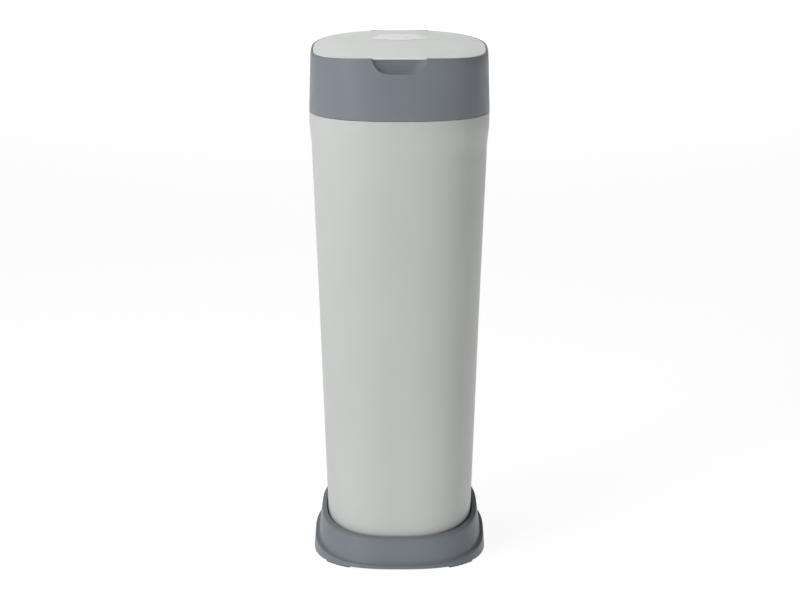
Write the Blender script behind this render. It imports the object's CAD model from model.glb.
import math

import bmesh
import bpy
from mathutils import Matrix, Vector


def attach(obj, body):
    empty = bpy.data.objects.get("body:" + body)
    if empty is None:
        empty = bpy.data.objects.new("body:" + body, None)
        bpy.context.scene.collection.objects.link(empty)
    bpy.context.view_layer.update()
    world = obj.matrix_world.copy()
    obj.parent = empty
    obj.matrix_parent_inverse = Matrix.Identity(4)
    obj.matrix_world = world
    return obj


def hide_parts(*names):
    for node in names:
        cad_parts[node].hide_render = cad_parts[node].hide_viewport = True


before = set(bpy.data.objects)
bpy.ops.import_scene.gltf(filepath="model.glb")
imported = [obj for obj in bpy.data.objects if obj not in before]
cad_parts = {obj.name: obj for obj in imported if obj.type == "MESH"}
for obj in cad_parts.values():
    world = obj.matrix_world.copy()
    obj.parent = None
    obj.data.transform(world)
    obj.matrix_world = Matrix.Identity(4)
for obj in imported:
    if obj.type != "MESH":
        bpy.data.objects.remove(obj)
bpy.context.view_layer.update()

# Facets of the fine surfaces
PLAN_FACETS = 200
SMALL_FACETS = 32
BARREL_FACETS = 64
MEDIUM_FACETS = 96
CLAMP_FACETS = 224
FLUTE_FACETS = 768
PROFILE_STEPS = 3
CROWN_RINGS = 18
TUB_STEP_RINGS = 16
EMBLEM_POINTS = 320
EMBLEM_RINGS = 24
FILM_POINTS = 288
SPRING_STEPS = 36

# Softened edges and shapes of the finer pieces, in metres
EDGE = 0.0008
FINE_EDGE = 0.0006
TINY_EDGE = 0.0004
TUB_FOOT_ROUND = 0.0012
TUB_STEP_BIAS = 1.15
FLANGE_ROUND = 0.0011
SEAL_NECK = 0.0012
SEAL_BULB = 0.0020
SEAL_GROOVE = 0.0007
SCREW_TURNS = 9
FLUTES = 96
FLUTE_DEPTH = 0.0004
FILM_FOLDS = 30
FOLD_DEPTH = 0.0007
BLADE_EDGE = 0.0008

# Sizes repeated from the solids, in metres
SEAT = 0.0003
RUNNING = 0.0003
OVERRUN = 0.002
ROUND_EXPONENT = 2.0
TUB_EXPONENT = 2.5
RIM_EXPONENT = 2.85
BASE_EXPONENT = 2.6

FOOT_HEIGHT = 0.0015
COLLAR_HALF = 0.0988
COLLAR_SLOPE = 0.182
COLLAR_RIM_Z = 0.0558
COLLAR_RIM_FALL = 0.0027
COLLAR_WALL = 0.0024
FLANGE_HALF = 0.1091
FLANGE_TOP_INSET = 0.0016
FLANGE_LAND = 0.0034
FLANGE_SLOPE = 0.155
FLANGE_TOP_Z = 0.0216
BASE_WALL = 0.0025
CUP_FLOOR_Z = 0.0105
CUP_FLOOR_THICK = 0.0025
TUB_TO_COLLAR = 0.0013
BASE_PLATE_THICK = 0.0020
BASE_PLATE_LIP = 0.0012
BASE_PLATE_GAP = 0.0012
FOOT_RADIUS = 0.0190
FOOT_X = 0.0760
FOOT_Y = 0.0830
FOOT_INSET = 0.0008
BASE_SCREW_PLACE = 0.0520

SEAM_Z = 0.5652
TUB_FOOT_HALF = 0.0896
TUB_WAIST_HALF = 0.0921
TUB_WAIST_Z = 0.0812
TUB_MIDDLE_HALF = 0.1006
TUB_MIDDLE_Z = 0.3212
TUB_SHOULDER_HALF = 0.1083
TUB_SHOULDER_Z = 0.5122
TUB_BAND_HALF = 0.1112
TUB_BAND_Z = 0.5512
SEAM_HALF = 0.1114
TUB_WALL = 0.0025
TUB_LIP = 0.0060
NECK_HEIGHT = 0.0160
NECK_WALL = 0.0024

HEAD_MIDDLE_HALF = 0.1104
HEAD_MIDDLE_Z = 0.6002
HEAD_WALL = 0.0025
RIM_HALF = 0.1090
RIM_Z = 0.6397
RIM_SLOPE = 0.040
RIM_CROWN = 0.0052
RIM_ROUND = 0.0012
RIM_SHOULDER_HALF = 0.1096
RIM_SHOULDER_DROP = 0.0130
RIM_LAND = 0.0023
LEDGE_DROP = 0.0085
LEDGE_THICK = 0.0024
LEDGE_HALF = 0.0900
BOSS_PLACE = 0.0735
BOSS_RADIUS = 0.0040

SCOOP_HALF_WIDTH = 0.0346
SCOOP_DEPTH = 0.0088
SCOOP_HEIGHT = 0.0195
SCOOP_EXPONENT = 2.6
SCOOP_WALL = 0.0022
SCOOP_TO_PANEL = 0.0004

LID_GAP = 0.0004
PANEL_THICK = 0.0024
PANEL_STAND = 0.0004
PANEL_EDGE_ROUND = 0.0010
PANEL_DRAFT = 0.0012
LINER_INSET = 0.0088
LINER_THICK = 0.0020
LINER_DROP = 0.0095
LINER_WALL_INSET = 0.0175
SEAL_WIDTH = 0.0040
SEAL_INSET = 0.0011

HINGE_Y = 0.1073
HINGE_RADIUS = 0.0036
HINGE_DROP = 0.0039
HINGE_PIN_RADIUS = 0.0016
HINGE_LID_HALF = 0.0240
HINGE_HEAD_LENGTH = 0.0120
HINGE_RELIEF = 0.0006
HINGE_NOTCH_HALF = 0.0465
HINGE_NOTCH_GAP = 0.0010

EMBLEM_Y = 0.0470
EMBLEM_HALF_WIDTH = 0.0345
EMBLEM_HALF_DEPTH = 0.0265
EMBLEM_THICK = 0.0005
EMBLEM_PETALS = 5
EMBLEM_NOTCH_SHARE = 0.72

CARRIER_THICK = 0.0025
DISH_RADIUS = 0.0895
DISH_FLOOR_Z = 0.5632
DISH_BORE = 0.0560
CASSETTE_RADIUS = 0.0880
CASSETTE_HEIGHT = 0.0400
CASSETTE_WALL = 0.0012
CASSETTE_BORE = 0.0610
CASSETTE_SLIT = 0.0030
COVER_LIP = 0.0060
FILM_PACK_DEPTH = 0.0300
CLAMP_HALF = 0.0660
CLAMP_MOUTH_HALF = 0.0560
CLAMP_EXPONENT = 5.0
CLAMP_HEIGHT = 0.0140
CLAMP_COLLAR_WALL = 0.0020
CLAMP_SNAP_HEIGHT = 0.0020
CLAMP_SNAP_LIP = 0.0010
CLAMP_AXIS_Y = 0.0440
CLAMP_AXIS_DROP = 0.0070
FLAP_HALF_WIDTH = 0.0455
FLAP_THICK = 0.0024
FLAP_MEETING_GAP = 0.0012
FLAP_HUB_RADIUS = 0.0042
FLAP_PIN_RADIUS = 0.0020
FLAP_RIB_HEIGHT = 0.0040
FLAP_RIB_WIDTH = 0.0016
FLAP_NOTCH_HALF = 0.0100
FLAP_NOTCH_DEPTH = 0.0056
FLAP_PIN_HALF = 0.0620
CUTTER_WIDTH = 0.0300
CUTTER_DEPTH = 0.0070
CUTTER_HEIGHT = 0.0100
CUTTER_SLOT = 0.0016
CUTTER_SLOT_DEPTH = 0.0060
BLADE_THICK = 0.0005
SPRING_WIRE = 0.0008
SPRING_RADIUS = 0.0033
SPRING_TURNS = 4
SPRING_PITCH = 0.00130
SPRING_LEG = 0.0117
SCREW_HEAD_RADIUS = 0.0032
SCREW_HEAD_THICK = 0.0016
SCREW_RADIUS = 0.0015
SCREW_LENGTH = 0.0100
PILOT_GAP = 0.0003

# Worked out from the sizes above
TUB_FOOT_Z = CUP_FLOOR_Z + SEAT
NECK_HALF = HEAD_MIDDLE_HALF - HEAD_WALL - SEAT
NECK_TOP_Z = SEAM_Z + NECK_HEIGHT
CARRIER_Z = NECK_TOP_Z + SEAT
CARRIER_TOP_Z = CARRIER_Z + CARRIER_THICK
CASSETTE_Z = DISH_FLOOR_Z + SEAT
CASSETTE_TOP_Z = CASSETTE_Z + CASSETTE_HEIGHT
CLAMP_TOP_Z = DISH_FLOOR_Z - CARRIER_THICK - SEAT
CLAMP_AXIS_Z = CLAMP_TOP_Z - CLAMP_AXIS_DROP
PANEL_HALF = RIM_HALF - RIM_LAND - LID_GAP
HINGE_Z = RIM_Z + RIM_SLOPE * HINGE_Y + RIM_CROWN - HINGE_DROP
HINGE_CENTRE = (0.0, HINGE_Y, HINGE_Z)
BASE_PLATE_Z = FOOT_HEIGHT + BASE_PLATE_LIP
EMBLEM_DROP = -PANEL_STAND - SEAT / 3
PILOT_RADIUS = SCREW_RADIUS + PILOT_GAP

# The camera, the room, the part of a noise that a finish uses, and the moulded skin
CAMERA_SENSOR = 36.0
CAMERA_LENS = 108.0
CAMERA_PLACE = (0.0007, -2.947, 1.0042)
CAMERA_TILT = math.radians(76.95)
WHITE = (1.0, 1.0, 1.0, 1.0)
ROOM_GLOW = 0.10
NOISE_LOW = 0.35
NOISE_HIGH = 0.65
MOULDED_SPECULAR = 0.16
GLOSS_DRIFT = 0.035
WAVE_HEIGHT = 0.0006
GRAIN_HEIGHT = 0.00003

scene = bpy.context.scene
cutters = bpy.data.collections.new("cutters")
scene.collection.children.link(cutters)
cutters.hide_render = True


def placed(name, data, place=(0.0, 0.0, 0.0)):
    """An object in the scene, at a place."""
    item = bpy.data.objects.new(name, data)
    scene.collection.objects.link(item)
    item.location = place
    return item


def camera():
    """A long lens in front of the bin, looking down on it a little."""
    eye = bpy.data.cameras.new("camera")
    eye.sensor_width = CAMERA_SENSOR
    eye.lens = CAMERA_LENS
    eye.dof.use_dof = False
    scene.camera = placed("camera", eye, CAMERA_PLACE)
    scene.camera.rotation_euler = (CAMERA_TILT, 0.0, 0.0)


def area_light(name, place, target, width, height, power):
    """A soft box that faces a target."""
    lamp = bpy.data.lights.new(name, "AREA")
    lamp.shape = "RECTANGLE"
    lamp.size = width
    lamp.size_y = height
    lamp.energy = power
    turn = (Vector(target) - Vector(place)).to_track_quat("-Z", "Y")
    placed(name, lamp, place).rotation_euler = turn.to_euler()


def glowing_sheet(name, size, place, turn, colour, glow):
    """A flat part of the studio that shines a little itself, so that no shadow dirties it."""
    bm = bmesh.new()
    turned_place = Matrix.Translation(place) @ Matrix.Rotation(turn, 4, "X")
    bmesh.ops.create_grid(bm, x_segments=1, y_segments=1, size=size, matrix=turned_place)
    mesh = bpy.data.meshes.new(name)
    bm.to_mesh(mesh)
    bm.free()
    finish = Finish(name, roughness=1.0, specular=0.0)
    for socket, value in (("Base Color", (colour, colour, colour, 1.0)), ("Emission Color", WHITE),
                          ("Emission Strength", glow)):
        finish.shader.inputs[socket].default_value = value
    mesh.materials.append(finish.material)
    placed(name, mesh)


def studio():
    """A white sweep, a broad key from the left, a soft light above and a dim room."""
    scene.view_settings.view_transform = "Standard"
    world = bpy.data.worlds.new("studio")
    world.use_nodes = True
    room = world.node_tree.nodes["Background"]
    room.inputs["Color"].default_value = WHITE
    room.inputs["Strength"].default_value = ROOM_GLOW
    scene.world = world
    area_light("key", (-1.9, -2.1, 1.0), (0.0, 0.0, 0.33), width=0.9, height=1.8, power=33.0)
    area_light("top", (-0.5, -0.3, 2.2), (0.0, 0.0, 0.6), width=1.3, height=1.3, power=18.0)
    glowing_sheet("floor", 7.0, (0.0, 0.0, 0.0), turn=0.0, colour=0.20, glow=0.91)
    glowing_sheet("backdrop", 1.3, (0.0, 3.9, 0.9), turn=math.pi / 2, colour=0.10, glow=1.0)


def screen(red, green, blue):
    """A colour given as screen values from 0 to 255, in linear light."""
    channels = []
    for value in (red, green, blue):
        share = value / 255.0
        low = share / 12.92
        high = ((share + 0.055) / 1.055) ** 2.4
        channels.append(low if share <= 0.04045 else high)
    return (*channels, 1.0)


class Finish:
    """One procedural material, with short calls for the nodes that it needs."""

    def __init__(self, name, roughness, metallic=0.0, specular=0.5):
        self.material = bpy.data.materials.new(name)
        self.material.use_nodes = True
        self.tree = self.material.node_tree
        self.shader = self.tree.nodes["Principled BSDF"]
        self.shader.inputs["Roughness"].default_value = roughness
        self.shader.inputs["Metallic"].default_value = metallic
        self.shader.inputs["Specular IOR Level"].default_value = specular
        self.place = self.tree.nodes.new("ShaderNodeTexCoord").outputs["Object"]

    def link(self, output, target):
        """Join one node's output to another's input."""
        self.tree.links.new(output, target)

    def node(self, kind, values):
        """A new node with values on its sockets."""
        made = self.tree.nodes.new(kind)
        for socket, value in values.items():
            made.inputs[socket].default_value = value
        return made

    def noise(self, scale, detail, stretch=(1.0, 1.0, 1.0)):
        """Noise in the object's own space, squeezed along an axis if asked."""
        mapping = self.node("ShaderNodeMapping", {"Scale": stretch})
        self.link(self.place, mapping.inputs["Vector"])
        noise = self.node("ShaderNodeTexNoise", {"Scale": scale, "Detail": detail})
        self.link(mapping.outputs["Vector"], noise.inputs["Vector"])
        return noise.outputs["Fac"]

    def spread(self, value, low, high):
        """Map a noise value onto a range."""
        ranged = self.node("ShaderNodeMapRange", {"From Min": NOISE_LOW, "From Max": NOISE_HIGH,
                                                  "To Min": low, "To Max": high})
        self.link(value, ranged.inputs["Value"])
        return ranged.outputs["Result"]

    def tint(self, value, colour, low, high):
        """Let the base colour drift with a noise value between two strengths of one colour."""
        mix = self.node("ShaderNodeMix", {6: scaled(colour, low), 7: scaled(colour, high)})
        mix.data_type = "RGBA"
        self.link(self.spread(value, 0.0, 1.0), mix.inputs[0])
        self.drive("Base Color", mix.outputs[2])

    def bump(self, height, strength, distance, below=None):
        """A bump from a height, over another normal if one is given."""
        bump = self.node("ShaderNodeBump", {"Strength": strength, "Distance": distance})
        self.link(height, bump.inputs["Height"])
        if below is not None:
            self.link(below, bump.inputs["Normal"])
        return bump.outputs["Normal"]

    def drive(self, socket, output):
        """Let a node drive one of the shader's own sockets."""
        self.link(output, self.shader.inputs[socket])


def scaled(colour, share):
    """A colour at a share of its strength."""
    return (colour[0] * share, colour[1] * share, colour[2] * share, 1.0)


def moulded(name, colour, roughness, grain=2600.0, depth=0.10, drift=0.035, waves=0.03):
    """Moulded plastic: spark-eroded grain, a faint drift of colour and a soft unevenness of gloss."""
    finish = Finish(name, roughness, specular=MOULDED_SPECULAR)
    cloud = finish.noise(7.0, 4.0, (1.0, 1.0, 0.45))
    finish.tint(cloud, colour, 1.0 - drift, 1.0 + drift)
    gloss = finish.noise(46.0, 3.0)
    finish.drive("Roughness", finish.spread(gloss, roughness - GLOSS_DRIFT, roughness + GLOSS_DRIFT))
    below = finish.bump(finish.noise(22.0, 2.0), waves, WAVE_HEIGHT) if waves > 0.0 else None
    finish.drive("Normal", finish.bump(finish.noise(grain, 2.0), depth, GRAIN_HEIGHT, below))
    return finish.material


def rubber(name, colour):
    """Soft matt rubber with a coarse skin and dusty patches."""
    finish = Finish(name, 0.85, specular=0.3)
    dust = finish.noise(60.0, 6.0)
    finish.tint(dust, colour, 1.0, 1.35)
    finish.drive("Roughness", finish.spread(dust, 0.78, 0.92))
    finish.drive("Normal", finish.bump(finish.noise(1500.0, 3.0), 0.35, 0.00012))
    return finish.material


def steel(name, stretch=(0.04, 1.0, 1.0)):
    """Zinc-plated steel, drawn along one axis, with a faintly mottled gloss."""
    finish = Finish(name, 0.28, metallic=1.0)
    drawn = finish.noise(1800.0, 2.0, stretch)
    mottle = finish.noise(240.0, 4.0)
    finish.tint(mottle, STEEL_COLOUR, 0.90, 1.06)
    finish.drive("Roughness", finish.spread(drawn, 0.20, 0.38))
    finish.drive("Normal", finish.bump(drawn, 0.15, 0.00004))
    return finish.material


def film(name, colour, alpha):
    """Thin blown film: glossy, crinkled and half clear."""
    finish = Finish(name, 0.24)
    finish.shader.inputs["Alpha"].default_value = alpha
    crinkle = finish.noise(90.0, 6.0, (1.0, 1.0, 0.35))
    finish.tint(crinkle, colour, 0.90, 1.08)
    finish.drive("Roughness", finish.spread(crinkle, 0.16, 0.36))
    folds = finish.bump(finish.noise(55.0, 3.0, (1.0, 1.0, 0.22)), 0.45, 0.0011)
    finish.drive("Normal", finish.bump(crinkle, 0.40, 0.0005, folds))
    return finish.material


def new_object(name, mesh, material):
    """An object for a piece, or a hidden cutter if it has no material."""
    item = bpy.data.objects.new(name, mesh)
    if material is None:
        cutters.objects.link(item)
        item.hide_render = True
    else:
        scene.collection.objects.link(item)
        mesh.materials.append(material)
    return item


def mesh_from(bm, name):
    """A mesh with its faces turned outwards."""
    bmesh.ops.recalc_face_normals(bm, faces=bm.faces)
    mesh = bpy.data.meshes.new(name)
    bm.to_mesh(mesh)
    bm.free()
    return mesh


def smooth(item, angle=34.0):
    """Smooth shading that keeps the edges sharper than an angle."""
    item.data.shade_smooth()
    item.data.set_sharp_from_angle(angle=math.radians(angle))
    return item


def bevelled(item, width, segments, angle=32.0):
    """Round off the sharp edges, then shade smoothly."""
    bm = bmesh.new()
    bm.from_mesh(item.data)
    bmesh.ops.remove_doubles(bm, verts=bm.verts, dist=0.00001)
    sharp = [edge for edge in bm.edges
             if edge.is_manifold and edge.calc_face_angle(0.0) > math.radians(angle)]
    bmesh.ops.bevel(bm, geom=sharp, offset=width, segments=segments, profile=0.5, affect="EDGES",
                    clamp_overlap=True)
    bm.to_mesh(item.data)
    bm.free()
    return smooth(item, 60.0)


def applied(item, tool, operation):
    """Apply a Boolean at once and drop its tool."""
    step = item.modifiers.new(operation.title(), "BOOLEAN")
    step.operation = operation
    step.object = tool
    step.solver = "EXACT"
    graph = bpy.context.evaluated_depsgraph_get()
    done = bpy.data.meshes.new_from_object(item.evaluated_get(graph))
    item.modifiers.clear()
    item.data = done
    bpy.data.objects.remove(tool, do_unlink=True)


def cut(item, *tools):
    """Take each tool from a piece."""
    for tool in tools:
        applied(item, tool, "DIFFERENCE")


def join(item, *tools):
    """Add each tool to a piece."""
    for tool in tools:
        applied(item, tool, "UNION")


def squircle(half, exponent, facets):
    """Points of a rounded square; exponent 2 is a circle."""
    points = []
    for index in range(facets):
        angle = 2 * math.pi * index / facets
        cosine = math.cos(angle)
        sine = math.sin(angle)
        x = math.copysign(abs(cosine) ** (2 / exponent), cosine)
        y = math.copysign(abs(sine) ** (2 / exponent), sine)
        points.append((half * x, half * y))
    return points


def ring(half, height, exponent, facets=PLAN_FACETS):
    """One section of a loft; height is a number or a function of x and y."""
    section = []
    for x, y in squircle(half, exponent, facets):
        z = height(x, y) if callable(height) else height
        section.append(Vector((x, y, z)))
    return section


def between(first, second, steps):
    """The rings from one section up to the next, without the last."""
    rows = []
    for step in range(steps):
        share = step / steps
        rows.append([low.lerp(high, share) for low, high in zip(first, second)])
    return rows


def rounded(first, corner, last, steps=4):
    """Rings round a corner between two sections, on a quadratic curve."""
    rows = []
    for step in range(steps + 1):
        t = step / steps
        rows.append([low * (1 - t) ** 2 + middle * (2 * t * (1 - t)) + high * t ** 2
                     for low, middle, high in zip(first, corner, last)])
    return rows


def rings(exponent, *places, facets=PLAN_FACETS):
    """Sections of one plan, each at a half-width and a height."""
    return [ring(half, height, exponent, facets) for half, height in places]


def bend(exponent, half, height, start, end, steps=4, facets=PLAN_FACETS, level=None):
    """Rings round a corner, between two offsets from it; with a level, heights are drops below that."""
    places = [(half + side, height + rise) for side, rise in (start, (0.0, 0.0), end)]
    if level is not None:
        places = [(wide, level(drop)) for wide, drop in places]
    return rounded(*rings(exponent, *places, facets=facets), steps)


def loft(name, sections, material=None, ends="joined"):
    """Join sections into one body, whose ends are joined round the wall, capped or left open.

    A section of one point is a pole, which closes an open end.
    """
    bm = bmesh.new()
    rows = [[bm.verts.new(point) for point in section] for section in sections]
    if ends == "capped":
        bm.faces.new(rows[0])
        bm.faces.new(rows[-1])
    elif ends == "joined":
        rows.append(rows[0])
    for low, high in zip(rows, rows[1:]):
        count = max(len(low), len(high))
        for index in range(count):
            after = (index + 1) % count
            if len(low) == 1:
                bm.faces.new((low[0], high[after], high[index]))
            elif len(high) == 1:
                bm.faces.new((low[index], low[after], high[0]))
            else:
                bm.faces.new((low[index], low[after], high[after], high[index]))
    return new_object(name, mesh_from(bm, name), material)


def turned(name, profile, material, facets, centre=(0.0, 0.0), ripple=None):
    """Turn a profile of (radius, height) about an upright axis; radius 0 closes it in a point."""
    rows = []
    for radius, height in profile:
        row = []
        for index in range(facets if radius > 0.0 else 1):
            angle = 2 * math.pi * index / facets
            reach = radius if ripple is None else radius - ripple(angle, radius, height)
            row.append((centre[0] + reach * math.cos(angle), centre[1] + reach * math.sin(angle), height))
        rows.append(row)
    return loft(name, rows, material, "joined" if profile[0][0] > 0.0 else "open")


def soft_profile(points, reach, closed=True):
    """Round every corner of a profile by a reach; an open one keeps its ends."""
    result = []
    count = len(points)
    for index in range(count):
        if not closed and index in (0, count - 1):
            result.append(points[index])
            continue
        corner = Vector(points[index])
        sides = (Vector(points[near % count]) - corner for near in (index - 1, index + 1))
        first, last = (corner + side.normalized() * min(reach, side.length * 0.45) for side in sides)
        result += [row[0].to_tuple() for row in rounded([first], [corner], [last], PROFILE_STEPS)]
    return result


CROSSWISE = Matrix.Rotation(math.pi / 2, 4, "Y")


def rod(name, radius, length, place, material, facets):
    """A cylinder about the origin of a place matrix, along its z."""
    bm = bmesh.new()
    bmesh.ops.create_cone(bm, cap_ends=True, segments=facets, radius1=radius, radius2=radius, depth=length,
                          matrix=place)
    return new_object(name, mesh_from(bm, name), material)


def post(name, radius, low, high, x, y, facets=SMALL_FACETS):
    """An upright cylinder between two heights, as a tool."""
    return rod(name, radius, high - low, Matrix.Translation((x, y, (low + high) / 2)), None, facets)


def across(name, radius, half, centre, material=None, facets=SMALL_FACETS):
    """A cylinder along x, reaching a half-length to each side of its centre."""
    return rod(name, radius, 2 * half, Matrix.Translation(centre) @ CROSSWISE, material, facets)


def block(name, low, high, material=None):
    """A box between two corners."""
    low = Vector(low)
    high = Vector(high)
    bm = bmesh.new()
    place = Matrix.Translation((low + high) / 2) @ Matrix.Diagonal((*(high - low), 1.0))
    bmesh.ops.create_cube(bm, size=1.0, matrix=place)
    return new_object(name, mesh_from(bm, name), material)


def corners(place_x, place_y):
    """The four corner places, with the name of each."""
    return (
        ("front_left", -place_x, -place_y),
        ("front_right", place_x, -place_y),
        ("rear_left", -place_x, place_y),
        ("rear_right", place_x, place_y),
    )


def stands_for(item, body, node):
    """Put a finer piece in a solid's place, on its body and with its finish in the record."""
    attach(item, body)
    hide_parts(node)


def rim_height(drop=0.0):
    """Height of the tilted and crowned rim over the plan, less a drop."""
    return lambda x, y: RIM_Z + RIM_SLOPE * y + RIM_CROWN * (1 - (x / RIM_HALF) ** 2) - drop


def rim_ring(half, drop=0.0):
    """One section of the head or the lid, at a drop below the rim."""
    return ring(half, rim_height(drop), RIM_EXPONENT)


def rim_bend(half, drop, start, end, steps):
    """Rings round a corner of the head or the lid, with drops for heights."""
    return bend(RIM_EXPONENT, half, drop, start, end, steps, level=rim_height)


def collar_rim(drop):
    """Height of the collar's slanted rim over the plan, less a drop."""
    return lambda x, y: COLLAR_RIM_Z + COLLAR_SLOPE * y - drop


def flange_top(drop=0.0):
    """Height of the flange's slanted top over the plan, less a drop."""
    return lambda x, y: FLANGE_TOP_Z + FLANGE_SLOPE * y - drop


# Colours as the photograph's screen values suggest, before light
TUB_COLOUR = screen(199, 202, 199)
LID_COLOUR = screen(232, 235, 232)
SLATE_COLOUR = screen(126, 132, 138)
LINER_COLOUR = screen(128, 134, 138)
DARK_COLOUR = screen(84, 88, 92)
INNER_COLOUR = screen(226, 227, 224)
COVER_COLOUR = screen(214, 217, 214)
CLAMP_COLOUR = screen(208, 212, 212)
RUBBER_COLOUR = screen(96, 100, 103)
FILM_COLOUR = screen(196, 214, 226)
STEEL_COLOUR = screen(196, 198, 202)
EMBLEM_COLOUR = screen(252, 253, 252)


def tub_half(z):
    """Half-width of the tub's outside at a height on its taper."""
    places = (
        (TUB_FOOT_Z, TUB_FOOT_HALF),
        (TUB_WAIST_Z, TUB_WAIST_HALF),
        (TUB_MIDDLE_Z, TUB_MIDDLE_HALF),
        (TUB_SHOULDER_Z, TUB_SHOULDER_HALF),
    )
    for (low_z, low), (high_z, high) in zip(places, places[1:]):
        if z <= high_z:
            return low + (high - low) * (z - low_z) / (high_z - low_z)
    return TUB_SHOULDER_HALF


def make_tub():
    """The tapered sleeve: its soft step out, its rounded seam edge, its neck and its lipped foot."""
    exponent = TUB_EXPONENT
    foot_high = TUB_FOOT_Z + TUB_FOOT_ROUND
    rows = bend(exponent, TUB_FOOT_HALF, TUB_FOOT_Z, (-TUB_FOOT_ROUND, 0.0),
                (tub_half(foot_high) - TUB_FOOT_HALF, TUB_FOOT_ROUND))
    outside = (0.03, 0.05, TUB_WAIST_Z, 0.12, 0.16, 0.20, 0.24, 0.28, TUB_MIDDLE_Z, 0.36, 0.40, 0.44, 0.48,
               0.50)
    rows += rings(exponent, *((tub_half(z), z) for z in outside))
    for step in range(TUB_STEP_RINGS + 1):
        share = step / TUB_STEP_RINGS
        bent = share ** TUB_STEP_BIAS
        width = bent * bent * (3 - 2 * bent)
        rows.append(ring(TUB_SHOULDER_HALF + width * (TUB_BAND_HALF - TUB_SHOULDER_HALF),
                         TUB_SHOULDER_Z + share * (TUB_BAND_Z - TUB_SHOULDER_Z), exponent))
    band_top = SEAM_Z - SEAT
    neck_inside = NECK_HALF - NECK_WALL
    rows += bend(exponent, SEAM_HALF, band_top, (0.0, -EDGE), (-EDGE, 0.0))
    rows += rings(exponent, (NECK_HALF + 0.0001, band_top), (NECK_HALF, band_top + 0.0002),
                  (NECK_HALF, NECK_TOP_Z - 0.0010))
    rows += bend(exponent, NECK_HALF, NECK_TOP_Z, (0.0, -FINE_EDGE), (-FINE_EDGE, 0.0))
    rows += bend(exponent, neck_inside, NECK_TOP_Z, (FINE_EDGE, 0.0), (0.0, -FINE_EDGE))
    rows += rings(exponent, (neck_inside, TUB_BAND_Z), (TUB_SHOULDER_HALF - TUB_WALL, TUB_SHOULDER_Z))
    lip_top = TUB_FOOT_Z + TUB_WALL
    lip_half = TUB_FOOT_HALF - TUB_WALL - TUB_LIP
    inside = (0.50, 0.44, 0.36, TUB_MIDDLE_Z, 0.24, 0.16, TUB_WAIST_Z, 0.05, lip_top)
    rows += rings(exponent, *((tub_half(z) - TUB_WALL, z) for z in inside))
    rows += bend(exponent, lip_half, lip_top, (FINE_EDGE, 0.0), (0.0, -FINE_EDGE))
    rows += rings(exponent, (lip_half, TUB_FOOT_Z))
    stands_for(smooth(loft("tub_shell", rows, moulded("tub_shell", TUB_COLOUR, 0.40))), "tub", "tub")


def make_base():
    """The foot ring: cup, slanted collar with a rolled rim, apron and flange in one moulding."""
    exponent = BASE_EXPONENT
    cup_half = tub_half(COLLAR_RIM_Z) + TUB_TO_COLLAR
    flange_outer = FLANGE_HALF - FLANGE_TOP_INSET
    flange_inner = flange_outer - FLANGE_LAND
    cup_underside = CUP_FLOOR_Z - CUP_FLOOR_THICK
    rim_underside = collar_rim(COLLAR_RIM_FALL + COLLAR_WALL)
    rows = rings(exponent, (cup_half - 2 * TUB_TO_COLLAR, CUP_FLOOR_Z))
    rows += bend(exponent, cup_half, CUP_FLOOR_Z, (-TUB_TO_COLLAR, 0.0), (0.0, TUB_TO_COLLAR))
    rows += rings(exponent, (cup_half, collar_rim(0.0020)))
    rows += bend(exponent, cup_half, 0.0, (0.0, 0.0007), (EDGE, 0.0), 5, level=collar_rim)
    crest, corner, fall = rings(exponent, ((cup_half + COLLAR_HALF) / 2, collar_rim(0.0002)),
                                (COLLAR_HALF - 0.0003, collar_rim(0.0006)),
                                (COLLAR_HALF, collar_rim(COLLAR_RIM_FALL)))
    rows += rounded(crest, corner, fall, 7)
    apron = rings(exponent, (flange_inner - 0.0010, flange_top(-0.0010)),
                  (flange_inner - 0.0002, flange_top()), (flange_inner + EDGE, flange_top()))
    rows += between(fall, apron[0], 6)[1:] + rounded(*apron)
    rows += bend(exponent, flange_outer, 0.0, (-FLANGE_ROUND, 0.0), (0.0001, FLANGE_ROUND), 5,
                 level=flange_top)
    skirt = rings(exponent, (FLANGE_HALF - 0.0001, FOOT_HEIGHT + 0.0009), (FLANGE_HALF, FOOT_HEIGHT),
                  (FLANGE_HALF - EDGE, FOOT_HEIGHT))
    rows += between(rows[-1], skirt[0], 4)[1:] + rounded(*skirt)
    rows += rings(exponent, (FLANGE_HALF - BASE_WALL, FOOT_HEIGHT),
                  (flange_inner - BASE_WALL / 2, flange_top(BASE_WALL)),
                  (COLLAR_HALF - COLLAR_WALL / 2, rim_underside),
                  (cup_half + COLLAR_WALL, rim_underside), (cup_half + COLLAR_WALL, cup_underside))
    shell = loft("foot_ring", rows, moulded("foot_ring", SLATE_COLOUR, 0.40), "capped")
    plate_top = BASE_PLATE_Z + BASE_PLATE_THICK
    post_top = cup_underside + CUP_FLOOR_THICK / 2
    for name, x, y in corners(BASE_SCREW_PLACE, BASE_SCREW_PLACE):
        join(shell, post("post_" + name, BOSS_RADIUS, plate_top + SEAT, post_top, x, y))
        cut(shell, post("pilot_" + name, PILOT_RADIUS, plate_top - OVERRUN, CUP_FLOOR_Z + OVERRUN, x, y))
    stands_for(smooth(shell), "base", "base_shell")


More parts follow.
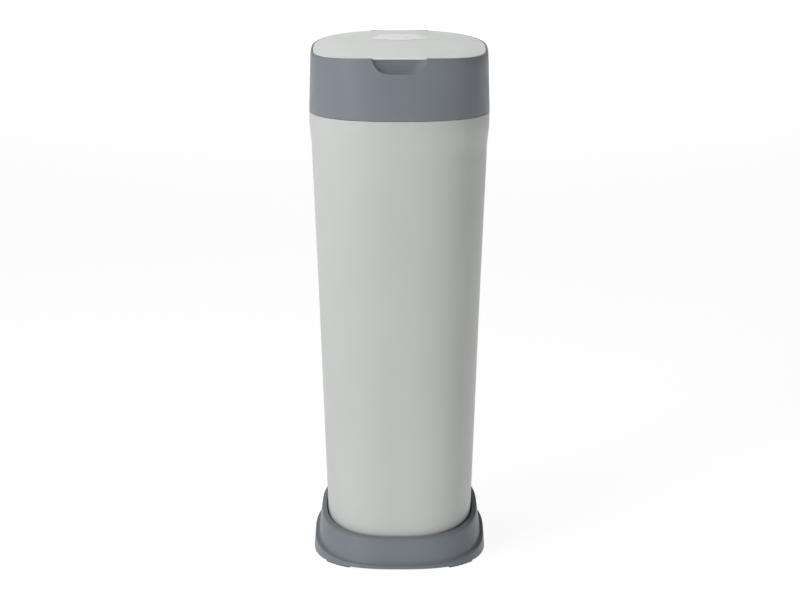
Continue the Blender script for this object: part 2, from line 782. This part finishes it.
def scoop_hollow(name, wall):
    """The flared finger scoop, grown by a wall for the pocket round it."""
    front = -RIM_HALF
    rim = rim_height()(0.0, front)
    # Height from the rim, share of the width, share of the depth
    places = (
        (-SCOOP_HEIGHT - wall, 0.38, 0.50),
        (-SCOOP_HEIGHT * 0.94, 0.56, 0.68),
        (-SCOOP_HEIGHT * 0.82, 0.70, 0.82),
        (-SCOOP_HEIGHT * 0.50, 0.86, 0.94),
        (0.0, 1.0, 1.0),
        (SCOOP_WALL, 1.0, 1.0),
    )
    fine = []
    for low, high in zip(places, places[1:]):
        steps = 6 if high[0] <= 0.0 else 1
        for step in range(steps):
            fine.append([a + (b - a) * step / steps for a, b in zip(low, high)])
    fine.append(places[-1])
    plan = squircle(1.0, SCOOP_EXPONENT, MEDIUM_FACETS)
    sections = []
    for rise, width_share, depth_share in fine:
        half_width = SCOOP_HALF_WIDTH * width_share + wall
        depth = SCOOP_DEPTH * depth_share + wall
        sections.append([Vector((x * half_width, front + y * depth, rim + rise)) for x, y in plan])
    return loft(name, sections, ends="capped")


def scoop_pocket():
    """The wall behind the scoop, kept inside the head and under the lid."""
    pocket = scoop_hollow("scoop_pocket", SCOOP_WALL)
    inset = HEAD_WALL / 2
    bound = PANEL_THICK - PANEL_STAND + SCOOP_TO_PANEL
    sections = [ring(HEAD_MIDDLE_HALF - inset, HEAD_MIDDLE_Z, RIM_EXPONENT),
                rim_ring(RIM_SHOULDER_HALF - inset, RIM_SHOULDER_DROP),
                rim_ring(RIM_HALF - inset, bound), rim_ring(LEDGE_HALF, bound)]
    applied(pocket, loft("scoop_bounds", sections, ends="capped"), "INTERSECT")
    return pocket


def make_head():
    """The grey head: wall, rolled rim, ledge, bosses, flared scoop and hinge knuckles."""
    middle_exponent = (TUB_EXPONENT + RIM_EXPONENT) / 2
    well_half = RIM_HALF - RIM_LAND
    under_ledge = LEDGE_DROP + LEDGE_THICK
    middle = ring(HEAD_MIDDLE_HALF, HEAD_MIDDLE_Z, middle_exponent)
    shoulder = rim_ring(RIM_SHOULDER_HALF, RIM_SHOULDER_DROP)
    rows = bend(TUB_EXPONENT, SEAM_HALF, SEAM_Z, (-EDGE, 0.0), (0.0, EDGE))
    rows += between(rows[-1], middle, 5)[1:] + between(middle, shoulder, 4)
    rows += rounded(shoulder, rim_ring(RIM_HALF + 0.0003, 0.0040), rim_ring(RIM_HALF, RIM_ROUND))
    rows += rim_bend(RIM_HALF, 0.0, (0.0, RIM_ROUND), (-RIM_ROUND, 0.0), 5)[1:]
    rows += rim_bend(well_half, 0.0, (0.0005, 0.0), (0.0, 0.0005), 3)
    rows += [rim_ring(well_half, LEDGE_DROP - FINE_EDGE), rim_ring(well_half - FINE_EDGE, LEDGE_DROP)]
    rows += rim_bend(LEDGE_HALF, LEDGE_DROP, (EDGE, 0.0), (0.0, EDGE), 4)
    rows += [rim_ring(LEDGE_HALF, under_ledge), rim_ring(RIM_SHOULDER_HALF - HEAD_WALL, under_ledge),
             ring(HEAD_MIDDLE_HALF - HEAD_WALL, HEAD_MIDDLE_Z, middle_exponent),
             ring(SEAM_HALF - HEAD_WALL, SEAM_Z, TUB_EXPONENT)]
    head = loft("head_ring", rows, moulded("head_ring", SLATE_COLOUR, 0.38))
    join(head, scoop_pocket())
    cut(head, scoop_hollow("scoop_hollow", 0.0))
    low = CARRIER_TOP_Z + SEAT
    pilot_top = CARRIER_Z + SCREW_LENGTH + OVERRUN
    for name, x, y in corners(BOSS_PLACE, BOSS_PLACE):
        join(head, post("boss_" + name, BOSS_RADIUS, low, rim_height(under_ledge - 2 * SEAT)(x, y), x, y))
        cut(head, post("boss_pilot_" + name, PILOT_RADIUS, low - OVERRUN, pilot_top, x, y))
    gap_half = HINGE_LID_HALF + RUNNING
    barrel_half = gap_half + HINGE_HEAD_LENGTH
    join(head, across("barrel", HINGE_RADIUS, barrel_half, HINGE_CENTRE, facets=BARREL_FACETS))
    cut(head, across("relief", HINGE_RADIUS + HINGE_RELIEF, gap_half, HINGE_CENTRE, facets=BARREL_FACETS))
    cut(head, across("pin_bore", HINGE_PIN_RADIUS + RUNNING, barrel_half + OVERRUN, HINGE_CENTRE))
    stands_for(smooth(head), "tub", "head_shell")


def crowned_plate(name, upper, edge, lower, material):
    """A crowned plate: upper and lower faces, each a half-width and a drop, joined by its edge sections."""
    shares = [(index + 1) / CROWN_RINGS for index in range(CROWN_RINGS - 1)]
    above, below = ([rim_ring(half * share, drop) for share in shares] for half, drop in (upper, lower))
    centres = [(0.0, 0.0, rim_height(drop)(0.0, 0.0)) for half, drop in (upper, lower)]
    sections = [centres[:1]] + above + edge + below[::-1] + [centres[1:]]
    return loft(name, sections, material, "open")


def make_panel():
    """The lid's light panel, with a bright rolled edge and a drafted side."""
    roll = 1.3 * PANEL_EDGE_ROUND
    lower = (PANEL_HALF - PANEL_DRAFT, PANEL_THICK - PANEL_STAND)
    edge = rim_bend(PANEL_HALF, -PANEL_STAND, (-roll, 0.0), (0.0, PANEL_EDGE_ROUND), 7) + [rim_ring(*lower)]
    finish = moulded("panel", LID_COLOUR, 0.34, grain=3200.0, depth=0.02, drift=0.012, waves=0.0)
    panel = crowned_plate("panel", (PANEL_HALF - roll, -PANEL_STAND), edge, lower, finish)
    # The strip behind the rear edge that leaves room for the hinge
    front = HINGE_Y - HINGE_RADIUS - HINGE_NOTCH_GAP
    cut(panel, block("panel_notch", (-HINGE_NOTCH_HALF, front, HINGE_Z - LINER_DROP - OVERRUN),
                     (HINGE_NOTCH_HALF, HINGE_Y + HINGE_RADIUS, HINGE_Z + HINGE_DROP + HINGE_RADIUS)))
    stands_for(bevelled(panel, 0.0003, 2, 50.0), "lid", "lid_panel")


def make_liner():
    """The grey liner: a skirt down to the ledge, the seal's wall and the hinge knuckle."""
    top = PANEL_THICK - PANEL_STAND + SEAT
    bottom = top + LINER_THICK
    half = PANEL_HALF - LINER_INSET
    skirt = PANEL_HALF - LINER_WALL_INSET
    upper = (half - 0.0010, top)
    lower = (skirt - LINER_THICK - 0.0010, bottom)
    profile = soft_profile([
        upper, (half, top), (half, LEDGE_DROP - SEAT), (half - LINER_THICK, LEDGE_DROP - SEAT),
        (half - LINER_THICK, bottom), (skirt, bottom), (skirt, LINER_DROP),
        (skirt - LINER_THICK, LINER_DROP), (skirt - LINER_THICK, bottom), lower,
    ], TINY_EDGE, closed=False)
    finish = moulded("liner", LINER_COLOUR, 0.45, grain=1800.0, depth=0.16)
    liner = crowned_plate("liner", upper, [rim_ring(*place) for place in profile], lower, finish)
    web_front = half - 2 * LINER_THICK
    web_half = HINGE_LID_HALF - HINGE_RELIEF
    web_top = rim_height(top + LINER_THICK / 4)(0.0, web_front)
    web_low = rim_height(bottom - LINER_THICK / 4)(0.0, web_front)
    join(liner, block("web", (-web_half, web_front, web_low), (web_half, HINGE_Y, web_top)),
         across("knuckle", HINGE_RADIUS, HINGE_LID_HALF, HINGE_CENTRE, facets=BARREL_FACETS))
    cut(liner, across("lid_bore", HINGE_PIN_RADIUS + RUNNING, HINGE_LID_HALF + OVERRUN, HINGE_CENTRE))
    stands_for(smooth(liner), "lid", "lid_liner")


def make_seal():
    """The soft seal: a bulb that bears on the ledge, with a groove along it."""
    top = PANEL_THICK - PANEL_STAND + SEAT + LINER_THICK + SEAT
    low = LEDGE_DROP - SEAT
    half = PANEL_HALF - LINER_INSET - LINER_THICK - SEAL_INSET
    outer = half + SEAL_WIDTH / 6
    inner = half - SEAL_WIDTH
    middle = (outer + inner) / 2
    neck = top + SEAL_NECK
    rows = [rim_ring(half, top), rim_ring(half - 0.0002, neck)]
    rows += rim_bend(outer, low, (0.0, -SEAL_BULB), (middle + SEAL_GROOVE - outer, 0.0), 5)
    rows.append(rim_ring(middle, low - SEAL_GROOVE))
    rows += rim_bend(inner, low, (middle - SEAL_GROOVE - inner, 0.0), (0.0, -SEAL_BULB), 5)
    rows += [rim_ring(inner + 0.0002, neck), rim_ring(inner, top)]
    stands_for(smooth(loft("seal", rows, rubber("seal", RUBBER_COLOUR))), "lid", "lid_seal")


def petal_reach(angle):
    """Reach of the blossom's outline, from the notch between petals to a petal's tip."""
    wave = abs(math.sin(EMBLEM_PETALS * angle / 2))
    return EMBLEM_NOTCH_SHARE + (1 - EMBLEM_NOTCH_SHARE) * math.sqrt(wave)


def petal_rise(angle, share):
    """Height of the blossom's face, as a share: petals with grooves between, a heart and a round edge."""
    groove = math.exp(-((math.sin(EMBLEM_PETALS * angle / 2) * share) / 0.10) ** 2)
    fall = max(0.0, (share - 0.90) / 0.10)
    heart = 0.20 if share < 0.26 else 0.0
    rise = 0.72 - 0.40 * groove * min(1.0, share / 0.3) + heart
    return rise * math.sqrt(max(0.0, 1.0 - fall * fall))


def emblem_row(share, raised):
    """One outline of the blossom, on its face or on its flat back."""
    row = []
    for index in range(EMBLEM_POINTS):
        angle = 2 * math.pi * index / EMBLEM_POINTS
        reach = share * petal_reach(angle)
        x = EMBLEM_HALF_WIDTH * reach * math.sin(angle)
        y = EMBLEM_Y + EMBLEM_HALF_DEPTH * reach * math.cos(angle)
        rise = EMBLEM_THICK * petal_rise(angle, share) if raised else 0.0
        row.append(Vector((x, y, rim_height(EMBLEM_DROP - rise)(x, y))))
    return row


def make_emblem():
    """A generic blossom on the lid: five soft petals with a shallow groove between them."""
    top, bottom = ([(0.0, EMBLEM_Y, rim_height(EMBLEM_DROP - rise)(0.0, EMBLEM_Y))]
                   for rise in (EMBLEM_THICK * 0.92, 0.0))
    face = [emblem_row((index + 1) / EMBLEM_RINGS, True) for index in range(EMBLEM_RINGS)]
    rows = [top] + face + [emblem_row(1.0, False), bottom]
    finish = moulded("emblem", EMBLEM_COLOUR, 0.30, grain=4200.0, depth=0.04, drift=0.012)
    stands_for(smooth(loft("emblem", rows, finish, "open"), 50.0), "lid", "lid_emblem")


def pan_screw(name, x, y, seat_z, material):
    """A pan-head screw from below, with a domed head, a cross recess and a pointed shank."""
    top = seat_z - SEAT
    low = top - SCREW_HEAD_THICK
    tip = seat_z + SCREW_LENGTH
    dome = ((0.0, 0.0), (0.35, 0.0), (0.70, 0.06), (0.90, 0.22), (0.98, 0.48), (1.0, 0.80), (0.97, 1.0))
    profile = [(share * SCREW_HEAD_RADIUS, low + rise * SCREW_HEAD_THICK) for share, rise in dome]
    profile.append((SCREW_RADIUS, top))
    step = (SCREW_LENGTH - 0.0022) / SCREW_TURNS
    for turn in range(SCREW_TURNS):
        z = seat_z + 0.0006 + turn * step
        for share, rise in ((0.80, 0.0), (1.0, 0.45), (0.80, 0.9)):
            profile.append((share * SCREW_RADIUS, z + rise * step))
    profile += [(0.72 * SCREW_RADIUS, tip - 0.0014), (0.0, tip)]
    item = turned(name, profile, material, 40, (x, y))
    reach = 0.52 * SCREW_HEAD_RADIUS
    for half_x, half_y in ((reach, 0.28 * reach), (0.28 * reach, reach)):
        cut(item, block(name + "_recess", (x - half_x, y - half_y, low - 0.0004),
                        (x + half_x, y + half_y, low + 0.0009)))
    return smooth(item, 30.0)


def make_base_plate():
    """The bottom cover: a plate with a stiffening step and four screw holes."""
    half = FLANGE_HALF - FLANGE_TOP_INSET - FLANGE_LAND - BASE_WALL / 2 - BASE_PLATE_GAP
    low = BASE_PLATE_Z
    high = low + BASE_PLATE_THICK
    edge = 0.0005
    rows = rings(BASE_EXPONENT, (half * 0.30, high), (half * 0.9, high))
    rows += bend(BASE_EXPONENT, half, high, (-edge, 0.0), (0.0, -edge), 3)
    rows += bend(BASE_EXPONENT, half, low, (0.0, edge), (-edge, 0.0), 3)
    for share, rise in ((0.90, 0.0), (0.885, EDGE), (0.60, EDGE), (0.585, 0.0), (0.40, 0.0), (0.385, EDGE)):
        rows.append(ring(half * share, low + rise, BASE_EXPONENT))
    finish = moulded("bottom_cover", DARK_COLOUR, 0.55, grain=900.0, depth=0.35)
    plate = loft("bottom_cover", rows, finish, "capped")
    for name, x, y in corners(BASE_SCREW_PLACE, BASE_SCREW_PLACE):
        cut(plate, post("plate_hole_" + name, PILOT_RADIUS, low - OVERRUN, high + OVERRUN, x, y))
    stands_for(smooth(plate), "base", "base_plate")


def make_feet():
    """Four soft pads with two grooves each, cut to the foot ring's outline."""
    top = FOOT_HEIGHT - SEAT
    half = FLANGE_HALF - FOOT_INSET
    material = rubber("pad", RUBBER_COLOUR)
    for name, x, y in corners(FOOT_X, FOOT_Y):
        rows = rings(BASE_EXPONENT, (half, top), (half, 0.0), facets=400)
        pad = loft("pad_" + name, rows, material, "capped")
        outline = post("pad_outline_" + name, FOOT_RADIUS, -OVERRUN, top + OVERRUN, x, y, MEDIUM_FACETS)
        applied(pad, outline, "INTERSECT")
        for share in (0.55, 0.30):
            reach = FOOT_RADIUS * share
            profile = [(reach + 0.0008, -0.0004), (reach - 0.0008, -0.0004), (reach - 0.0003, 0.0005),
                       (reach + 0.0003, 0.0005)]
            cut(pad, turned("pad_groove_" + name, profile, None, 72, (x, y)))
        stands_for(smooth(pad, 30.0), "base", "foot_" + name)


def make_screws():
    """The screws up through the bottom cover and those up through the dish."""
    material = steel("screw_steel")
    for label, place, seat_z, body, node in (
        ("lower_screw_", BASE_SCREW_PLACE, BASE_PLATE_Z, "base", "base_screw_"),
        ("upper_screw_", BOSS_PLACE, CARRIER_Z, "tub", "head_screw_"),
    ):
        for name, x, y in corners(place, place):
            stands_for(pan_screw(label + name, x, y, seat_z, material), body, node + name)


def make_carrier():
    """The plate on the tub's neck: a land, a round dish for the cassette and a bore for the film."""
    low = DISH_FLOOR_Z - CARRIER_THICK
    outer = DISH_RADIUS + CARRIER_THICK
    edge = FINE_EDGE
    rows = rings(TUB_EXPONENT, (NECK_HALF - edge, CARRIER_TOP_Z))
    for half, height, start, end in (
        (DISH_RADIUS, CARRIER_TOP_Z, (edge, 0.0), (0.0, -edge)),
        (DISH_RADIUS, DISH_FLOOR_Z, (0.0, edge), (-edge, 0.0)),
        (DISH_BORE, DISH_FLOOR_Z, (edge, 0.0), (0.0, -edge)),
        (DISH_BORE, low, (0.0, edge), (edge, 0.0)),
        (outer, low, (-1.5 * edge, 0.0), (0.0, 1.5 * edge)),
    ):
        rows += bend(ROUND_EXPONENT, half, height, start, end)
    rows += rings(ROUND_EXPONENT, (outer, CARRIER_Z))
    rows += rings(TUB_EXPONENT, (NECK_HALF - TINY_EDGE, CARRIER_Z), (NECK_HALF, CARRIER_Z + TINY_EDGE),
                  (NECK_HALF, CARRIER_TOP_Z - TINY_EDGE))
    carrier = loft("dish", rows, moulded("dish", INNER_COLOUR, 0.42))
    for name, x, y in corners(BOSS_PLACE, BOSS_PLACE):
        cut(carrier, post("dish_hole_" + name, PILOT_RADIUS, CARRIER_Z - OVERRUN, CARRIER_TOP_Z + OVERRUN,
                          x, y))
    stands_for(smooth(carrier), "tub", "carrier")


def fluted(angle, radius, height):
    """Shallow grip flutes round the cassette's outer wall, at every height."""
    if radius < CASSETTE_RADIUS - FLUTE_DEPTH:
        return 0.0
    return FLUTE_DEPTH * (0.5 - 0.5 * math.cos(FLUTES * angle))


def make_cassette():
    """The cassette's tray and cover, with grip flutes outside, and the pleated film between."""
    top = CASSETTE_TOP_Z
    cover_low = top - CASSETTE_WALL
    outer_top = cover_low - SEAT
    inner_top = cover_low - CASSETTE_SLIT
    floor_top = CASSETTE_Z + CASSETTE_WALL
    outer_inside = CASSETTE_RADIUS - CASSETTE_WALL
    inner_outside = CASSETTE_BORE + CASSETTE_WALL
    profile = [
        (CASSETTE_RADIUS, outer_top), (CASSETTE_RADIUS, CASSETTE_Z), (CASSETTE_BORE, CASSETTE_Z),
        (CASSETTE_BORE, inner_top), (inner_outside, inner_top), (inner_outside, floor_top),
        (outer_inside, floor_top), (outer_inside, outer_top),
    ]
    tray = turned("tray", soft_profile(profile, 0.0005), moulded("tray", INNER_COLOUR, 0.34), FLUTE_FACETS,
                  ripple=fluted)
    stands_for(smooth(tray), "tub", "cassette_body")
    lip_outside = outer_inside - SEAT
    lip_inside = lip_outside - CASSETTE_WALL
    lip_low = cover_low - COVER_LIP
    bore = inner_outside + CASSETTE_SLIT
    profile = [
        (CASSETTE_RADIUS, top), (CASSETTE_RADIUS, cover_low), (lip_outside, cover_low),
        (lip_outside, lip_low), (lip_inside, lip_low), (lip_inside, cover_low),
        (bore, cover_low), (bore, top),
    ]
    for groove in (bore + 0.0040, CASSETTE_RADIUS - 0.0050):
        for reach, drop in ((-0.0015, 0.0), (-0.0010, TINY_EDGE), (0.0010, TINY_EDGE), (0.0015, 0.0)):
            profile.append((groove + reach, top - drop))
    finish = moulded("cover", COVER_COLOUR, 0.28, grain=3000.0, depth=0.05)
    cover = turned("cover", soft_profile(profile, TINY_EDGE), finish, FLUTE_FACETS, ripple=fluted)
    stands_for(smooth(cover), "tub", "cassette_cover")
    make_film_pack(floor_top + SEAT, lip_inside - SEAT, inner_outside + SEAT)


def make_film_pack(low, outer, inner):
    """The pleated film in the tray, with an uneven edge at each fold."""
    step = FILM_PACK_DEPTH / FILM_FOLDS
    folds = [low + FILM_PACK_DEPTH * fold / FILM_FOLDS for fold in range(FILM_FOLDS)]
    profile = []
    for z in folds:
        profile += [(outer, z + 0.5 * step), (outer - FOLD_DEPTH, z + step)]
    for z in reversed(folds):
        profile += [(inner + FOLD_DEPTH, z + 0.95 * step), (inner, z + 0.5 * step)]

    def crumple(angle, radius, height):
        """Uneven folds, pushed in from both walls of the tray."""
        side = 1.0 if radius > (outer + inner) / 2 else -1.0
        wave = math.sin(37 * angle + 900 * height) + math.sin(61 * angle - 1300 * height)
        return side * 0.00012 * (2.0 + wave)

    pleats = turned("pleats", profile, film("pleats", FILM_COLOUR, 1.0), 512, ripple=crumple)
    stands_for(smooth(pleats, 60.0), "tub", "film_pack")


FILM_PATH = (
    # Height, half in x, half in y, depth of the gathers, share of the knot's twist
    (CASSETTE_TOP_Z - CASSETTE_WALL - CASSETTE_SLIT - 0.0002, 0.0606, 0.0606, 0.00010, 0.0),
    (0.5960, 0.0604, 0.0604, 0.00030, 0.0),
    (0.5880, 0.0596, 0.0590, 0.00090, 0.0),
    (0.5780, 0.0570, 0.0540, 0.00180, 0.0),
    (0.5680, 0.0530, 0.0440, 0.00240, 0.0),
    (0.5632, 0.0508, 0.0318, 0.00260, 0.0),
    (0.5610, 0.0498, 0.0222, 0.00220, 0.0),
    (0.5590, 0.0480, 0.0130, 0.00150, 0.0),
    (0.5572, 0.0448, 0.0048, 0.00060, 0.0),
    (0.5560, 0.0420, 0.0006, 0.00008, 0.0),
    (0.5534, 0.0395, 0.0003, 0.00004, 0.0),
    (0.5500, 0.0362, 0.0003, 0.00004, 0.0),
    (0.5420, 0.0290, 0.0014, 0.00070, 0.0),
    (0.5300, 0.0190, 0.0028, 0.00110, 0.0),
    (0.5180, 0.0100, 0.0038, 0.00120, 0.0),
    (0.5080, 0.0048, 0.0044, 0.00090, 0.0),
    (0.5045, 0.0068, 0.0060, 0.00060, 1.0),
    (0.5015, 0.0088, 0.0075, 0.00080, 1.0),
    (0.4974, 0.0088, 0.0075, 0.00110, 1.0),
    (0.4935, 0.0084, 0.0072, 0.00080, 1.0),
    (0.4900, 0.0050, 0.0045, 0.00080, 0.0),
    (0.4860, 0.0058, 0.0036, 0.00120, 0.0),
    (0.4780, 0.0110, 0.0034, 0.00150, 0.0),
    (0.4700, 0.0160, 0.0031, 0.00130, 0.0),
    (0.4658, 0.0176, 0.0030, 0.00110, 0.0),
)


def eased_path(path, steps):
    """Smooth the film's path between its named heights."""
    rows = []
    last = len(path) - 1
    for index in range(last):
        around = (path[max(index - 1, 0)], path[index], path[index + 1], path[min(index + 2, last)])
        for step in range(steps):
            t = step / steps
            row = []
            for a, b, c, d in zip(*around):
                value = 0.5 * (2 * b + (c - a) * t + (2 * a - 5 * b + 4 * c - d) * t * t
                               + (3 * b - a - 3 * c + d) * t ** 3)
                row.append(min(max(value, min(b, c)), max(b, c)))
            rows.append(row)
    rows.append(path[last])
    return rows


def film_row(height, half_x, half_y, gather, knot):
    """One section of the film, with its uneven gathers and the twist of the knot."""
    row = []
    drift = 60.0 * (height - 0.56)
    thinnest = 0.0001 if half_y > 0.0004 else half_y * 0.8
    for index in range(FILM_POINTS):
        angle = 2 * math.pi * index / FILM_POINTS
        wave = (0.50 * math.sin(23 * angle + 2.1 * math.sin(3 * angle) + 0.35 * drift)
                + 0.30 * math.sin(41 * angle + 1.7 * math.sin(5 * angle + 1.0) - 0.5 * drift)
                + 0.20 * math.sin(67 * angle + 0.9 * drift))
        wrap = 0.0009 * knot * math.sin(2 * angle + 1400.0 * (height - 0.4974))
        pull = gather * (0.55 + 0.45 * wave) + wrap * 0.5 + 0.00045 * knot
        x = max(half_x - pull, 0.0002) * math.cos(angle)
        y = max(half_y - pull, thinnest) * math.sin(angle)
        row.append((x, y, height))
    return row


def make_film_sleeve():
    """The thin film: over the cassette's inner wall, in a funnel to the flaps, nipped there and knotted."""
    rows = [film_row(*place) for place in eased_path(FILM_PATH, 5)]
    item = loft("film_tube", rows, film("film_tube", FILM_COLOUR, 0.86), "open")
    item.data.shade_smooth()
    stands_for(item, "tub", "film_sleeve")


def make_clamp():
    """The clamp frame under the dish, with its snap collar and the bores for the pins."""
    collar = DISH_BORE - SEAT
    throat = collar - CLAMP_COLLAR_WALL
    snap_low = DISH_FLOOR_Z + SEAT
    snap_high = snap_low + CLAMP_SNAP_HEIGHT
    low = CLAMP_TOP_Z - CLAMP_HEIGHT
    under_top = CLAMP_TOP_Z - CLAMP_COLLAR_WALL
    edge = FINE_EDGE
    facets = CLAMP_FACETS
    rows = rings(ROUND_EXPONENT, (throat + TINY_EDGE, snap_high), (collar - CLAMP_SNAP_LIP / 2, snap_high),
                 (collar + CLAMP_SNAP_LIP * 0.9, snap_low + CLAMP_SNAP_HEIGHT * 0.42),
                 (collar + CLAMP_SNAP_LIP, snap_low + CLAMP_SNAP_HEIGHT / 4),
                 (collar + CLAMP_SNAP_LIP, snap_low), (collar, snap_low), (collar, CLAMP_TOP_Z),
                 facets=facets)
    for half, height, start, end in (
        (CLAMP_HALF, CLAMP_TOP_Z, (-edge, 0.0), (0.0, -edge)),
        (CLAMP_HALF, low, (0.0, edge), (-edge, 0.0)),
        (CLAMP_MOUTH_HALF, low, (edge, 0.0), (0.0, edge)),
    ):
        rows += bend(CLAMP_EXPONENT, half, height, start, end, facets=facets)
    rows += rings(CLAMP_EXPONENT, (CLAMP_MOUTH_HALF, under_top), facets=facets)
    rows += rings(ROUND_EXPONENT, (throat, under_top), (throat, snap_high - TINY_EDGE), facets=facets)
    clamp = loft("flap_frame", rows, moulded("flap_frame", CLAMP_COLOUR, 0.42))
    pin_material = steel("pin_steel")
    flap_material = moulded("flap", CLAMP_COLOUR, 0.36)
    for name, side in (("front", -1), ("rear", 1)):
        axis = (0.0, side * CLAMP_AXIS_Y, CLAMP_AXIS_Z)
        cut(clamp, across("frame_bore_" + name, FLAP_PIN_RADIUS + RUNNING, CLAMP_HALF + OVERRUN, axis))
        pin = across("pin_" + name, FLAP_PIN_RADIUS, FLAP_PIN_HALF, axis, pin_material)
        stands_for(bevelled(pin, TINY_EDGE, 3), "tub", "flap_pin_" + name)
        make_flap(name, side, axis, flap_material)
        make_spring(name, side, axis)
    stands_for(smooth(clamp), "tub", "clamp_frame")


def sided_block(name, half, reaches, side, low, high, material=None, middle=0.0):
    """A box about an x, between two distances from the middle of the clamp on one side."""
    near, far = sorted(side * reach for reach in reaches)
    return block(name, (middle - half, near, low), (middle + half, far, high), material)


def make_flap(name, side, axis, material):
    """A ribbed flap with a hub, softened edges and the notch for its spring."""
    low = CLAMP_AXIS_Z - FLAP_THICK / 2
    high = CLAMP_AXIS_Z + FLAP_THICK / 2
    reach = FLAP_HUB_RADIUS + OVERRUN
    wing = (FLAP_MEETING_GAP / 2, CLAMP_AXIS_Y)
    rib = (FLAP_HUB_RADIUS, CLAMP_AXIS_Y - FLAP_HUB_RADIUS / 2)
    notch = (CLAMP_AXIS_Y - FLAP_NOTCH_DEPTH, CLAMP_AXIS_Y + reach)
    flap = sided_block("wing_" + name, FLAP_HALF_WIDTH, wing, side, low, high, material)
    join(flap, across("hub_" + name, FLAP_HUB_RADIUS, FLAP_HALF_WIDTH, axis, facets=BARREL_FACETS))
    for share in (-0.7, 0.0, 0.7):
        join(flap, sided_block("rib_" + name, FLAP_RIB_WIDTH / 2, rib, side, low - FLAP_RIB_HEIGHT,
                               CLAMP_AXIS_Z, middle=share * FLAP_HALF_WIDTH))
    cut(flap, sided_block("notch_" + name, FLAP_NOTCH_HALF, notch, side, CLAMP_AXIS_Z - reach - OVERRUN,
                          CLAMP_AXIS_Z + reach))
    cut(flap, across("bore_" + name, FLAP_PIN_RADIUS + RUNNING, FLAP_HALF_WIDTH + OVERRUN, axis))
    stands_for(bevelled(flap, 0.0003, 2, 40.0), "flap_" + name, "flap_" + name)


def make_spring(name, side, axis):
    """A wound torsion spring round the pin, with a leg on the frame and one in the flap's notch."""
    curve = bpy.data.curves.new("coil_" + name, "CURVE")
    curve.dimensions = "3D"
    curve.bevel_depth = SPRING_WIRE / 2
    curve.bevel_resolution = 4
    curve.use_fill_caps = True
    length = SPRING_TURNS * SPRING_PITCH
    steps = SPRING_TURNS * SPRING_STEPS
    points = [(-length / 2, side * SPRING_LEG, -SPRING_RADIUS)]
    for index in range(steps + 1):
        angle = 2 * math.pi * index / SPRING_STEPS
        points.append((length * (index / steps - 0.5), -side * SPRING_RADIUS * math.sin(angle),
                       -SPRING_RADIUS * math.cos(angle)))
    points.append((length / 2, -side * SPRING_RADIUS, -SPRING_RADIUS))
    spline = curve.splines.new("POLY")
    spline.points.add(len(points) - 1)
    for point, place in zip(spline.points, points):
        point.co = (*(Vector(place) + Vector(axis)), 1.0)
    curve.materials.append(steel("spring_steel_" + name, (1.0, 1.0, 1.0)))
    stands_for(placed("coil_" + name, curve), "tub", "flap_spring_" + name)


def make_cutter():
    """The film cutter: a rounded guard with a slot, and a ground blade across the slot."""
    back = -(CLAMP_HALF + SEAT)
    high = CLAMP_TOP_Z - SEAT
    low = high - CUTTER_HEIGHT
    slot_half = CUTTER_SLOT / 2
    slot_top = low + CUTTER_SLOT_DEPTH
    guard = block("guard", (-CUTTER_WIDTH / 2, back - CUTTER_DEPTH, low), (CUTTER_WIDTH / 2, back, high),
                  moulded("guard", SLATE_COLOUR, 0.42))
    cut(guard, block("guard_slot", (-slot_half, back - CUTTER_DEPTH - OVERRUN, low - OVERRUN),
                     (slot_half, back + OVERRUN, slot_top)))
    blade_y = back - CUTTER_DEPTH / 2
    blade_half = CUTTER_WIDTH / 4
    blade_low = low + CUTTER_SLOT_DEPTH / 2
    front, rear = blade_y - BLADE_THICK / 2, blade_y + BLADE_THICK / 2
    cut(guard, block("guard_seat", (-blade_half - SEAT, front - SEAT, blade_low - SEAT),
                     (blade_half + SEAT, rear + SEAT, slot_top + SEAT)))
    stands_for(bevelled(guard, 0.0005, 3, 40.0), "tub", "film_cutter")
    ground = blade_low + BLADE_EDGE
    section = ((blade_y, blade_low), (rear, ground), (rear, slot_top), (front, slot_top), (front, ground))
    ends = [[(x, y, z) for y, z in section] for x in (-blade_half, blade_half)]
    blade = loft("blade", ends, steel("blade_steel", (1.0, 0.05, 1.0)), "capped")
    stands_for(smooth(blade, 20.0), "tub", "cutter_blade")


def make_hinge_pin():
    """The rod through the lid's knuckle and the head's."""
    half = HINGE_LID_HALF + RUNNING + HINGE_HEAD_LENGTH
    pin = across("hinge_rod", HINGE_PIN_RADIUS, half, HINGE_CENTRE, steel("rod_steel"))
    stands_for(bevelled(pin, 0.0005, 4), "tub", "lid_hinge_pin")


make_base()
make_tub()
make_head()
make_panel()
make_liner()
make_seal()
make_emblem()
make_hinge_pin()
make_base_plate()
make_feet()
make_screws()
make_carrier()
make_cassette()
make_film_sleeve()
make_clamp()
make_cutter()
studio()
camera()
